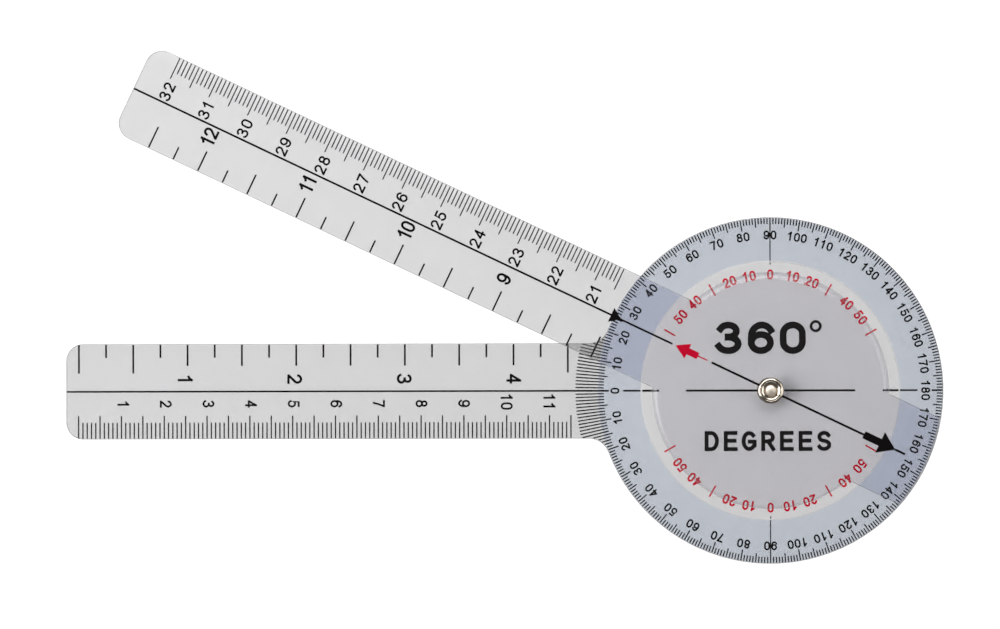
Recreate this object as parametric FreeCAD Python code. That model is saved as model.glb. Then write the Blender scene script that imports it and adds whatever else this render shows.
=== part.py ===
"""Two-arm goniometer: a 360 degree dial with a ruler arm, a second ruler arm on top of it, and a rivet.

Frame: millimetres, +Z up and out of the printed faces. The origin is on the pivot axis, in the flat back
of the rivet's head, which is the lowest face. The stationary arm points along -X. The moving arm lies over
the dial and is stored open by REST_ANGLE, turned from -X towards +Y.
"""
import FreeCAD, Part
import os
from math import atan2, cos, radians, sin, sqrt

Vector = FreeCAD.Vector

os.makedirs("parts", exist_ok=True)

# ---- driving dimensions ------------------------------------------------------------------------------
DIAL_RADIUS = 40.5          # rim of the 360 degree dial
STATIONARY_REACH = 164.5    # pivot axis to the tip of the stationary arm
MOVING_REACH = 164.5        # pivot axis to the tip of the moving arm
ARM_WIDTH = 22.3            # both ruler arms and the tail
TIP_CORNER = 4.0            # corner radius at the tips of the arms
ROOT_FILLET = 4.9           # fillet where the stationary arm runs into the dial
PLATE = 1.5                 # sheet thickness of each plate
CENTRE_RADIUS = 30.3        # raised disc in the middle of the dial, inside the number band
CENTRE_RISE = 0.4           # how far that disc stands above the number band
HUB_RADIUS = 27.7           # round hub of the moving arm
HUB_BEVEL_WIDTH = 1.8       # the hub's upper edge falls away over this width
HUB_BEVEL_DROP = 0.75       # and by this much
TAIL_INSET = 0.5            # the tail's arc ends this far inside the dial's rim
REST_ANGLE = 25.5           # stored opening between the two arms, degrees

EDGE_ROUND = 0.2            # softened edges of the plates
CENTRE_ROUND = 0.35         # rounded upper edge of the raised disc

SHANK_RADIUS = 2.0          # rivet shank, the hinge pin
RUNNING_CLEARANCE = 0.05    # shank to either plate's hole, on the radius
STACK_GAP = 0.05            # play between the dial, the hub and the washer, along the pivot
HEAD_RIM = 1.0              # how far the rivet's head reaches beyond its shank
HEAD_THICK = 0.6            # rivet head on the back
HEAD_ROUND = 0.25           # rounded lower edge of the head

WASHER_LAND = 0.25          # thickness of the washer where the rivet's end is rolled over it
WASHER_RIM_WIDTH = 0.7      # rolled outer rim of the washer
WASHER_RIM_RISE = 0.35      # how far that rim stands above the land
WASHER_CREST_IN = 0.15      # from the rim's inner edge out to its crest
WASHER_EDGE_RISE = 0.1      # upright outer edge of the washer, below its rounded shoulder
WASHER_INNER_DROP = 0.12    # how far the rim's inner edge lies below its crest
WASHER_GROOVE = 0.1         # open groove between the rim and the rivet's rolled end
WASHER_FIT = 0.02           # washer bore to rivet shank, on the radius

ROLL_OVERHANG = 0.25        # how far the rivet's rolled end reaches beyond its shank
ROLL_RISE = 0.42            # height of the rolled end above the washer's land
ROLL_CREST_IN = 0.16        # from the rolled end's outer edge in to its crest
FUNNEL_DROP = 0.47          # how far the funnel inside the rolled end falls, from the crest to the socket
FUNNEL_SWELL = 0.07         # how far the middle of that slope stands out from a straight cone
SOCKET_WALL = 0.6           # wall of the rivet's tubular end
SOCKET_DEPTH = 0.45         # from the washer's land down to the edge of the socket's floor
SOCKET_DOME = 0.25          # how far the middle of that floor stands up

# ---- sizes and heights that follow -------------------------------------------------------------------
HALF_WIDTH = ARM_WIDTH / 2
TAIL_REACH = DIAL_RADIUS - TAIL_INSET
HOLE_RADIUS = SHANK_RADIUS + RUNNING_CLEARANCE
HEAD_RADIUS = SHANK_RADIUS + HEAD_RIM
ROLL_RADIUS = SHANK_RADIUS + ROLL_OVERHANG
SOCKET_RADIUS = SHANK_RADIUS - SOCKET_WALL
WASHER_RADIUS = ROLL_RADIUS + WASHER_GROOVE + WASHER_RIM_WIDTH

DIAL_BOTTOM = HEAD_THICK
BAND_TOP = DIAL_BOTTOM + PLATE
CENTRE_TOP = BAND_TOP + CENTRE_RISE
MOVING_BOTTOM = CENTRE_TOP + STACK_GAP
MOVING_TOP = MOVING_BOTTOM + PLATE
WASHER_BOTTOM = MOVING_TOP + STACK_GAP
LAND_TOP = WASHER_BOTTOM + WASHER_LAND

OVERRUN = 1.0               # how far a drill runs past the faces it cuts
SAME = 1e-6                 # two heights closer than this are one


def point(x, y, z=0.0):
    """A point in the part's frame."""
    return Vector(x, y, z)


def profile_point(radius, height):
    """A point of a turned profile, drawn in the XZ plane."""
    return Vector(radius, 0, height)


def line(start, end):
    """A straight edge."""
    return Part.LineSegment(start, end).toShape()


def arc(start, middle, end):
    """The arc through three points."""
    return Part.Arc(start, middle, end).toShape()


def flat_face(edges):
    """The face inside a closed chain of edges."""
    return Part.Face(Part.Wire(Part.__sortEdges__(edges)))


def plate_between(edges, bottom, top):
    """The sheet between two heights whose outline is drawn at height 0, with its edges softened."""
    sheet = flat_face(edges).extrude(point(0, 0, top - bottom))
    sheet.translate(point(0, 0, bottom))
    outline = [edge for edge in sheet.Edges if edge.BoundBox.ZLength < SAME]
    return sheet.makeFillet(EDGE_ROUND, outline)


def turned(edges):
    """The solid turned about the pivot axis from a closed profile."""
    return flat_face(edges).revolve(point(0, 0), point(0, 0, 1), 360)


def raised_disc():
    """The disc in the middle of the dial, from inside its sheet up, with its upper edge rounded."""
    root = BAND_TOP - PLATE / 2
    disc = Part.makeCylinder(CENTRE_RADIUS, CENTRE_TOP - root, point(0, 0, root))
    upper = [edge for edge in disc.Edges if abs(edge.BoundBox.ZMin - CENTRE_TOP) < SAME]
    return disc.makeFillet(CENTRE_ROUND, upper)


def bevelled_hub():
    """The moving arm's round hub: flat on top, falling away in one arc to a low upright side."""
    flat_radius = HUB_RADIUS - HUB_BEVEL_WIDTH
    shoulder = MOVING_TOP - HUB_BEVEL_DROP
    bevel_radius = (HUB_BEVEL_WIDTH ** 2 + HUB_BEVEL_DROP ** 2) / (2 * HUB_BEVEL_DROP)
    bevel_turn = atan2(HUB_BEVEL_WIDTH, bevel_radius - HUB_BEVEL_DROP)
    middle = profile_point(
        flat_radius + bevel_radius * sin(bevel_turn / 2),
        MOVING_TOP - bevel_radius * (1 - cos(bevel_turn / 2)),
    )
    return turned([
        line(profile_point(0, MOVING_BOTTOM), profile_point(HUB_RADIUS, MOVING_BOTTOM)),
        line(profile_point(HUB_RADIUS, MOVING_BOTTOM), profile_point(HUB_RADIUS, shoulder)),
        arc(profile_point(HUB_RADIUS, shoulder), middle, profile_point(flat_radius, MOVING_TOP)),
        line(profile_point(flat_radius, MOVING_TOP), profile_point(0, MOVING_TOP)),
        line(profile_point(0, MOVING_TOP), profile_point(0, MOVING_BOTTOM)),
    ])


def pivot_hole(bottom, top):
    """The drill for the rivet's shank, through the faces at both heights."""
    return Part.makeCylinder(HOLE_RADIUS, top - bottom + 2 * OVERRUN, point(0, 0, bottom - OVERRUN))


def one_solid(shape):
    """The single clean solid that a chain of joins and cuts leaves."""
    clean = shape.removeSplitter()
    if len(clean.Solids) != 1:
        raise ValueError("expected one solid, found %d" % len(clean.Solids))
    return clean.Solids[0]


def ruler_edges(reach, inner_x):
    """A ruler arm's outline along -X: from inner_x out to the rounded tip, and back on the other side."""
    bend_x = -reach + TIP_CORNER
    bend_y = HALF_WIDTH - TIP_CORNER
    middle_x = bend_x - TIP_CORNER * cos(radians(45))
    middle_y = bend_y + TIP_CORNER * sin(radians(45))
    edges = [line(point(-reach, bend_y), point(-reach, -bend_y))]
    for side in (1, -1):
        shoulder = point(bend_x, side * HALF_WIDTH)
        edges.append(line(point(inner_x, side * HALF_WIDTH), shoulder))
        edges.append(arc(shoulder, point(middle_x, side * middle_y), point(-reach, side * bend_y)))
    return edges


def stationary_edges():
    """The dial's rim and the ruler arm in one closed chain, with a fillet in each inner corner."""
    fillet_y = HALF_WIDTH + ROOT_FILLET
    fillet_x = -sqrt((DIAL_RADIUS + ROOT_FILLET) ** 2 - fillet_y ** 2)
    rim_share = DIAL_RADIUS / (DIAL_RADIUS + ROOT_FILLET)
    edges = ruler_edges(STATIONARY_REACH, fillet_x)
    rim_ends = []
    for side in (1, -1):
        centre = point(fillet_x, side * fillet_y)
        on_arm = point(fillet_x, side * HALF_WIDTH)
        on_rim = centre * rim_share
        bisector = (on_arm - centre + on_rim - centre).normalize()
        edges.append(arc(on_arm, centre + bisector * ROOT_FILLET, on_rim))
        rim_ends.append(on_rim)
    edges.append(arc(rim_ends[0], point(DIAL_RADIUS, 0), rim_ends[1]))
    return edges


def make_stationary_arm():
    """Ruler arm and dial in one sheet, with the raised disc in the middle of the number band."""
    sheet = plate_between(stationary_edges(), DIAL_BOTTOM, BAND_TOP)
    return one_solid(sheet.fuse(raised_disc()).cut(pivot_hole(DIAL_BOTTOM, CENTRE_TOP)))


def make_moving_arm():
    """Ruler arm, hub and tail in one sheet, which lies on the dial's raised disc."""
    tail_x = sqrt(TAIL_REACH ** 2 - HALF_WIDTH ** 2)
    edges = ruler_edges(MOVING_REACH, tail_x)
    edges.append(arc(point(tail_x, HALF_WIDTH), point(TAIL_REACH, 0), point(tail_x, -HALF_WIDTH)))
    strip = plate_between(edges, MOVING_BOTTOM, MOVING_TOP)
    arm = one_solid(strip.fuse(bevelled_hub()).cut(pivot_hole(MOVING_BOTTOM, MOVING_TOP)))
    arm.rotate(point(0, 0), point(0, 0, 1), -REST_ANGLE)
    return arm


def rounded_corner(low, high):
    """Quarter-round from a point on an upright edge to a crest, both as (radius, height)."""
    radius = high[0] + (low[0] - high[0]) * cos(radians(45))
    height = low[1] + (high[1] - low[1]) * sin(radians(45))
    return arc(profile_point(*low), profile_point(radius, height), profile_point(*high))


def make_rivet_washer():
    """Pressed washer on the hub: a flat land round the shank inside a rim with a rounded shoulder."""
    bore = SHANK_RADIUS + WASHER_FIT
    rim_foot = WASHER_RADIUS - WASHER_RIM_WIDTH
    crest = (rim_foot + WASHER_CREST_IN, LAND_TOP + WASHER_RIM_RISE)
    shoulder_foot = (WASHER_RADIUS, WASHER_BOTTOM + WASHER_EDGE_RISE)
    inner_edge = (rim_foot, crest[1] - WASHER_INNER_DROP)
    corners = [
        profile_point(*inner_edge),
        profile_point(rim_foot, LAND_TOP),
        profile_point(bore, LAND_TOP),
        profile_point(bore, WASHER_BOTTOM),
        profile_point(WASHER_RADIUS, WASHER_BOTTOM),
        profile_point(*shoulder_foot),
    ]
    edges = [line(start, end) for start, end in zip(corners, corners[1:])]
    edges.append(rounded_corner(shoulder_foot, crest))
    edges.append(rounded_corner(inner_edge, crest))
    return one_solid(turned(edges))


def make_pivot_rivet():
    """Rivet: a flat head on the back, the shank, and the tubular end rolled over the washer."""
    edge_x = HEAD_RADIUS - HEAD_ROUND * (1 - cos(radians(45)))
    edge_z = HEAD_ROUND * (1 - sin(radians(45)))
    crest = (ROLL_RADIUS - ROLL_CREST_IN, LAND_TOP + ROLL_RISE)
    funnel_foot = (SOCKET_RADIUS, crest[1] - FUNNEL_DROP)
    funnel_lean = atan2(FUNNEL_DROP, crest[0] - SOCKET_RADIUS)
    funnel_middle = (
        (crest[0] + funnel_foot[0]) / 2 - FUNNEL_SWELL * sin(funnel_lean),
        (crest[1] + funnel_foot[1]) / 2 + FUNNEL_SWELL * cos(funnel_lean),
    )
    floor_z = LAND_TOP - SOCKET_DEPTH
    dome_radius = (SOCKET_RADIUS ** 2 + SOCKET_DOME ** 2) / (2 * SOCKET_DOME)
    dome_centre = floor_z + SOCKET_DOME - dome_radius
    dome_middle = SOCKET_RADIUS / 2
    head = [
        line(profile_point(0, 0), profile_point(HEAD_RADIUS - HEAD_ROUND, 0)),
        arc(
            profile_point(HEAD_RADIUS - HEAD_ROUND, 0),
            profile_point(edge_x, edge_z),
            profile_point(HEAD_RADIUS, HEAD_ROUND),
        ),
        line(profile_point(HEAD_RADIUS, HEAD_ROUND), profile_point(HEAD_RADIUS, HEAD_THICK)),
        line(profile_point(HEAD_RADIUS, HEAD_THICK), profile_point(SHANK_RADIUS, HEAD_THICK)),
    ]
    end = [
        line(profile_point(SHANK_RADIUS, HEAD_THICK), profile_point(SHANK_RADIUS, LAND_TOP)),
        line(profile_point(SHANK_RADIUS, LAND_TOP), profile_point(ROLL_RADIUS, LAND_TOP)),
        rounded_corner((ROLL_RADIUS, LAND_TOP), crest),
        arc(profile_point(*crest), profile_point(*funnel_middle), profile_point(*funnel_foot)),
        line(profile_point(*funnel_foot), profile_point(SOCKET_RADIUS, floor_z)),
        arc(
            profile_point(SOCKET_RADIUS, floor_z),
            profile_point(dome_middle, dome_centre + sqrt(dome_radius ** 2 - dome_middle ** 2)),
            profile_point(0, floor_z + SOCKET_DOME),
        ),
        line(profile_point(0, floor_z + SOCKET_DOME), profile_point(0, 0)),
    ]
    return one_solid(turned(head + end))


PIECES = {
    "stationary_arm": make_stationary_arm,
    "moving_arm": make_moving_arm,
    "rivet_washer": make_rivet_washer,
    "pivot_rivet": make_pivot_rivet,
}

for node, make in PIECES.items():
    solid = make()
    solid.exportStep("parts/%s.step" % node)
    box = solid.BoundBox
    print(node, "valid", solid.isValid(), "volume %.1f" % solid.Volume, "z %.2f to %.2f" % (box.ZMin, box.ZMax))
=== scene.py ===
"""Looks of a two-arm goniometer: frosted plates, printed scales, a tinted number band and a bright rivet.

Metres, +Z up and out of the printed faces, pivot axis through the origin. The stationary arm points along
-X. The moving arm's print is laid out along -X too, and is then turned to the arm's stored opening.
"""
import logging
from dataclasses import dataclass
from enum import Enum
from math import asin, copysign, cos, pi, radians, sin

import bmesh
import bpy
from mathutils import Euler, Matrix, Vector


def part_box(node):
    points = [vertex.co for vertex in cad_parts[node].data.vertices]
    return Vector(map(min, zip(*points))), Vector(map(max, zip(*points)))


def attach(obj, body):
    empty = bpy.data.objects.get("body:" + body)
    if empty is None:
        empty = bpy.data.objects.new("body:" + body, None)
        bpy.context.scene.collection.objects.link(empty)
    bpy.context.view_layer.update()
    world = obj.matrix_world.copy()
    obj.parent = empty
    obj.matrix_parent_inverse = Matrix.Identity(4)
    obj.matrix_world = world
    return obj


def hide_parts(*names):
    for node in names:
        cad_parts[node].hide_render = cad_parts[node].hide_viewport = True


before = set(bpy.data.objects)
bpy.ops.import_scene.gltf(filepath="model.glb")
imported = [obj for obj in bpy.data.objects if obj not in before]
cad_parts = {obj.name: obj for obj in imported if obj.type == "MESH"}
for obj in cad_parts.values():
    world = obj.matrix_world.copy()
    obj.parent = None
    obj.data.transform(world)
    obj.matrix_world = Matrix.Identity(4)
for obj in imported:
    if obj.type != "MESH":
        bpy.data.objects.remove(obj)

log = logging.getLogger("goniometer")

Point = tuple[float, float]
Colour = tuple[float, float, float]

MM = 0.001
INCH = 25.4 * MM
REST_OPENING = radians(25.5)          # stored angle between the two arms
RULER_AT_PIVOT = 162.0 * MM           # what the rulers would read on the pivot axis
EDGE_ROUND = 0.2 * MM                 # softened edge of the sheets, which print stays off
INK_SUNK = 0.004 * MM                 # a film's lower face lies this far inside the sheet
TINT_THICK = 0.006 * MM               # the tint stands this far above the sheet
INK_THICK = 0.016 * MM                # ink stands this far above the sheet, so it covers the tint
CENTRE_RADIUS = 30.3 * MM             # edge of the dial's raised centre disc
MILLIMETRE_MARKS = 116                # marks on each arm's millimetre scale
QUARTER_INCH_MARKS = 19               # marks on each arm's inch scale
WHITE: Colour = (1.0, 1.0, 1.0)


class Body(str, Enum):
    """Names of the record's material slots; finish_piece is handed one but does not use it."""

    STATIONARY = "stationary"
    MOVING = "moving"


class Slot(str, Enum):
    """Material slots of the record that new pieces take their finish from."""

    NICKEL = "nickel"
    TINT = "band_tint"
    BLACK = "black_ink"
    RED = "red_ink"


class Facing(Enum):
    """Which way the tops of a ruler's numerals point."""

    TO_PIVOT = 0.0
    TO_TIP = pi


# ---- the frame's own sizes ---------------------------------------------------------------------------

@dataclass(frozen=True)
class Sheets:
    """Sizes of the two plates, read from the frame.

    Args:
        reach: pivot axis to an arm's tip.
        half_width: half the width of an arm.
        rim: radius of the dial.
        band_top: height of the number band and of the stationary ruler.
        centre_top: height of the dial's raised centre disc.
        moving_top: height of the moving arm's printed face.
    """

    reach: float
    half_width: float
    rim: float
    band_top: float
    centre_top: float
    moving_top: float

    @classmethod
    def from_frame(cls) -> "Sheets":
        """Read the sizes from the CAD nodes.

        Returns:
            The sizes, in metres.
        """
        low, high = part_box("stationary_arm")
        corners = [v.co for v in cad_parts["stationary_arm"].data.vertices]
        near_tip = [c for c in corners if c.x < low.x / 2]
        return cls(
            reach=-low.x,
            half_width=max(c.y for c in near_tip),
            rim=high.x,
            band_top=max(c.z for c in near_tip),
            centre_top=high.z,
            moving_top=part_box("moving_arm")[1].z,
        )


# ---- node helpers ------------------------------------------------------------------------------------

class Nodes:
    """A thin hand on a node tree: adds nodes, fills sockets and links them."""

    def __init__(self, tree: bpy.types.NodeTree) -> None:
        """Keep the tree that the nodes go into."""
        self.tree = tree
        self.output: bpy.types.Node | None = None

    def add(self, kind: str, inputs: dict | None = None, **settings: object) -> bpy.types.Node:
        """Add one node.

        Args:
            kind: the node's type name.
            inputs: socket name or number to a value or an output socket.
            settings: properties of the node itself.

        Returns:
            The new node.
        """
        node = self.tree.nodes.new(kind)
        for name, value in settings.items():
            setattr(node, name, value)
        for key, value in (inputs or {}).items():
            self.feed(node.inputs[key], value)
        return node

    def feed(self, socket: bpy.types.NodeSocket, value: object) -> None:
        """Link an output into a socket, or set the socket's own value."""
        if isinstance(value, bpy.types.NodeSocket):
            self.tree.links.new(value, socket)
        else:
            socket.default_value = value

    def math(self, operation: str, first: object, second: object = 0.0, third: object = 0.0,
             clamp: bool = False) -> bpy.types.NodeSocket:
        """One sum of numbers, with its result clamped to 0..1 on request."""
        node = self.add("ShaderNodeMath", {0: first, 1: second, 2: third},
                        operation=operation, use_clamp=clamp)
        return node.outputs[0]

    def product(self, first: object, second: object) -> bpy.types.NodeSocket:
        """One number times another."""
        return self.math("MULTIPLY", first, second)

    def scaled(self, value: object, gain: float, base: float) -> bpy.types.NodeSocket:
        """A number times a gain, plus a base."""
        return self.math("MULTIPLY_ADD", value, gain, base)

    def axis_distance(self, place: bpy.types.Node) -> bpy.types.NodeSocket:
        """How far a point lies from the pivot axis."""
        split = self.add("ShaderNodeSeparateXYZ", {0: place.outputs["Object"]})
        x, y = split.outputs[0], split.outputs[1]
        return self.math("SQRT", self.math("ADD", self.product(x, x), self.product(y, y)))

    def noise(self, place: bpy.types.Node, scale: float, detail: float,
              roughness: float = 0.5) -> bpy.types.NodeSocket:
        """Fine noise in the object's own coordinates, about 0.5 on average."""
        texture = self.add("ShaderNodeTexNoise", {
            "Vector": place.outputs["Object"], "Scale": scale, "Detail": detail, "Roughness": roughness})
        return texture.outputs[0]

    def step(self, value: object, low: float, high: float) -> bpy.types.NodeSocket:
        """A smooth rise from 0 at low to 1 at high; low may be the larger of the two."""
        node = self.add("ShaderNodeMapRange", {0: value, 1: low, 2: high, 3: 0.0, 4: 1.0},
                        interpolation_type="SMOOTHSTEP")
        return node.outputs[0]

    def mix(self, factor: object, first: object, second: object) -> bpy.types.NodeSocket:
        """A colour between two colours."""
        node = self.add("ShaderNodeMix", data_type="RGBA")
        for index, value in ((0, factor), (6, first), (7, second)):
            self.feed(node.inputs[index], value)
        return node.outputs[2]


def new_material(name: str) -> tuple[bpy.types.Material, Nodes, bpy.types.Node]:
    """An empty node material.

    Returns:
        The material, its nodes and its Principled shader, already linked to the output.
    """
    material = bpy.data.materials.new(name)
    material.use_nodes = True
    material.node_tree.nodes.clear()
    nodes = Nodes(material.node_tree)
    shader = nodes.add("ShaderNodeBsdfPrincipled")
    nodes.output = nodes.add("ShaderNodeOutputMaterial")
    nodes.feed(nodes.output.inputs["Surface"], shader.outputs["BSDF"])
    return material, nodes, shader


def add_object(name: str, data: bpy.types.ID) -> bpy.types.Object:
    """Put a mesh, lamp or camera into the scene as an object."""
    thing = bpy.data.objects.new(name, data)
    bpy.context.scene.collection.objects.link(thing)
    return thing


def rgba(colour: Colour) -> tuple[float, float, float, float]:
    """A colour with full alpha."""
    return (*colour, 1.0)


# ---- finishes ----------------------------------------------------------------------------------------

@dataclass(frozen=True)
class Zone:
    """How one stretch of a sheet passes and scatters light.

    Args:
        tint: share of each colour that one face lets through where it doesn't scatter.
        milk: share of the light that one face scatters.
        colour: colour of that scatter.
    """

    tint: Colour
    milk: float
    colour: Colour


@dataclass(frozen=True)
class FrostedSheet:
    """Clear plastic sheet with a faint milkiness, satin gloss and painted shade that darkens its cut and
    rounded edges.

    Args:
        name: name of the material.
        zones: the sheet's stretches, from the pivot outwards.
        borders: radius at which each zone gives way to the next, one fewer than the zones.
        soft_border: width over which a zone gives way to the next.
        edge: the denser tint and dark scatter painted on the cut and rounded edges as shade.
        clear_rim: inside this radius an edge gets only a little of the painted edge shade.
        rim_share: how much of the painted edge shade such an edge still gets.
        face_roughness: roughness of the gloss on the faces.
        edge_roughness: roughness of the gloss on the edges.
        gloss_head_on: share of the light that mirrors back at a look straight down.
        gloss_at_glance: share that mirrors at a look along the sheet.
    """

    name: str
    zones: tuple[Zone, ...]
    borders: tuple[float, ...] = ()
    soft_border: float = 0.12 * MM
    # Painted shade: cut and rounded edges get a denser tint and a dark scatter colour.
    edge: Zone = Zone((0.72, 0.72, 0.73), 0.45, (0.22, 0.22, 0.22))
    clear_rim: float = 0.0
    rim_share: float = 0.25
    face_roughness: float = 0.16
    edge_roughness: float = 0.43
    gloss_head_on: float = 0.03
    gloss_at_glance: float = 0.93

    def build(self) -> bpy.types.Material:
        """Make the node material."""
        material, nodes, shader = new_material(self.name)
        place = nodes.add("ShaderNodeTexCoord")
        radius = nodes.axis_distance(place)
        normal = nodes.add("ShaderNodeSeparateXYZ", {0: place.outputs["Normal"]})
        # Where the sheet leans away from level the painted edge shade goes in; inside clear_rim only a
        # share of it.
        tilted = nodes.step(nodes.math("ABSOLUTE", normal.outputs[2]), 0.99, 0.80)
        edge = tilted
        if self.clear_rim > 0:
            outside = nodes.step(radius, self.clear_rim, self.clear_rim + 0.1 * MM)
            edge = nodes.product(edge, nodes.scaled(outside, 1.0 - self.rim_share, self.rim_share))
        cloud = nodes.noise(place, scale=140.0, detail=3.0, roughness=0.55)
        grain = nodes.noise(place, scale=5200.0, detail=1.0)
        tint, milk, colour = self.blended(nodes, radius, edge)
        unevenness = nodes.product(nodes.scaled(cloud, 0.16, 0.92), nodes.scaled(grain, 0.10, 0.95))
        milk = nodes.math("MULTIPLY", milk, unevenness, clamp=True)
        nodes.feed(shader.inputs["Base Color"], colour)
        nodes.feed(shader.inputs["Roughness"], nodes.scaled(cloud, 0.10, 0.30))
        shader.inputs["Specular IOR Level"].default_value = 0.0
        clear = nodes.add("ShaderNodeBsdfTransparent", {"Color": tint})
        sheet = nodes.add("ShaderNodeMixShader", {0: milk, 1: clear.outputs[0], 2: shader.outputs[0]})
        gloss, mirrored = self.gloss(nodes, tilted, grain)
        surface = nodes.add("ShaderNodeMixShader", {0: mirrored, 1: sheet.outputs[0], 2: gloss})
        nodes.feed(nodes.output.inputs["Surface"], surface.outputs[0])
        return material

    def gloss(self, nodes: Nodes, tilted: bpy.types.NodeSocket,
              grain: bpy.types.NodeSocket) -> tuple[bpy.types.NodeSocket, bpy.types.NodeSocket]:
        """The satin gloss, softer on edges, and the share of the light that it mirrors.

        Args:
            nodes: hand on the material's tree.
            tilted: 1 where the surface leans away from level.
            grain: fine noise that roughens the gloss.

        Returns:
            The gloss and its share.
        """
        bump = nodes.add("ShaderNodeBump", {"Strength": 0.05, "Distance": 0.02 * MM, "Height": grain})
        roughness = nodes.scaled(tilted, self.edge_roughness - self.face_roughness, self.face_roughness)
        gloss = nodes.add("ShaderNodeBsdfGlossy", {
            "Color": rgba(WHITE), "Roughness": roughness, "Normal": bump.outputs[0]})
        facing = nodes.add("ShaderNodeLayerWeight", {"Blend": 0.5})
        glancing = nodes.math("POWER", facing.outputs["Facing"], 5.0)
        share = nodes.scaled(glancing, self.gloss_at_glance - self.gloss_head_on, self.gloss_head_on)
        return gloss.outputs[0], share

    def blended(self, nodes: Nodes, radius: bpy.types.NodeSocket, edge: bpy.types.NodeSocket) -> tuple:
        """The tint, milkiness and scatter colour at a point, from its zone and its edge.

        Args:
            nodes: hand on the material's tree.
            radius: distance from the pivot axis.
            edge: 1 in a cut or rounded edge.

        Returns:
            Sockets or values for tint, milk and colour.
        """
        first = self.zones[0]
        tint: object = rgba(first.tint)
        milk: object = first.milk
        colour: object = rgba(first.colour)
        steps = [nodes.step(radius, border, border + self.soft_border) for border in self.borders]
        for inside, zone in (*zip(steps, self.zones[1:]), (edge, self.edge)):
            tint = nodes.mix(inside, tint, rgba(zone.tint))
            colour = nodes.mix(inside, colour, rgba(zone.colour))
            gain = nodes.math("SUBTRACT", zone.milk, milk)
            milk = nodes.math("MULTIPLY_ADD", inside, gain, milk)
        return tint, milk, colour


FROSTED_DIAL = Zone((0.812, 0.811, 0.812), 0.12, (0.30, 0.30, 0.30))
FROSTED_ARM = Zone((0.838, 0.837, 0.838), 0.12, (0.30, 0.30, 0.30))
CLEAR_HUB = Zone((0.914, 0.911, 0.930), 0.002, (0.5, 0.5, 0.5))
# Painted shade: over the number band the moving sheet's tint is darker than over the hub, as the shade of
# the sheet standing clear of the band.
CLEAR_BAND_PAINTED_SHADE = Zone((0.887, 0.892, 0.936), 0.004, (0.5, 0.5, 0.6))
BLACK_INK: Colour = (0.0015, 0.001, 0.001)
RED_INK: Colour = (0.335, 0.0005, 0.015)


@dataclass(frozen=True)
class TintFilm:
    """The blue-grey tint printed on the number band: a see-through film, slightly uneven like all ink.

    Args:
        tint: share of each colour that one face of the film lets through.
        unevenness: how much of that share comes and goes.
        body: colour of the little light that the ink itself scatters.
    """

    tint: Colour = (0.911, 0.937, 0.975)
    unevenness: float = 0.012
    body: Colour = (0.45, 0.52, 0.62)

    def build(self) -> bpy.types.Material:
        """Make the node material."""
        material, nodes, shader = new_material("number_band_tint")
        patch = nodes.noise(nodes.add("ShaderNodeTexCoord"), scale=320.0, detail=4.0, roughness=0.6)
        deep = tuple(c - self.unevenness for c in self.tint)
        colour = nodes.mix(patch, rgba(self.tint), rgba(deep))
        clear = nodes.add("ShaderNodeBsdfTransparent", {"Color": colour})
        shader.inputs["Base Color"].default_value = rgba(self.body)
        shader.inputs["Roughness"].default_value = 0.4
        shader.inputs["Specular IOR Level"].default_value = 0.1
        milk = nodes.scaled(patch, 0.01, 0.01)
        film = nodes.add("ShaderNodeMixShader", {0: milk, 1: clear.outputs[0], 2: shader.outputs[0]})
        nodes.feed(nodes.output.inputs["Surface"], film.outputs[0])
        return material


@dataclass(frozen=True)
class PrintInk:
    """Screen-printed ink: solid colour with a fine mesh grain in its gloss and depth.

    Args:
        name: name of the material.
        colour: colour of the ink.
        thinning: how much lighter the ink is where the screen laid it thinnest.
        sheen: strength of its gloss.
    """

    name: str
    colour: Colour
    thinning: float = 1.35
    sheen: float = 0.05

    def build(self) -> bpy.types.Material:
        """Make the node material."""
        material, nodes, shader = new_material(self.name)
        mesh = nodes.noise(nodes.add("ShaderNodeTexCoord"), scale=6000.0, detail=2.0)
        thin = tuple(min(1.0, self.thinning * c + 0.001) for c in self.colour)
        nodes.feed(shader.inputs["Base Color"], nodes.mix(mesh, rgba(self.colour), rgba(thin)))
        nodes.feed(shader.inputs["Roughness"], nodes.scaled(mesh, 0.2, 0.40))
        shader.inputs["Specular IOR Level"].default_value = self.sheen
        return material


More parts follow.
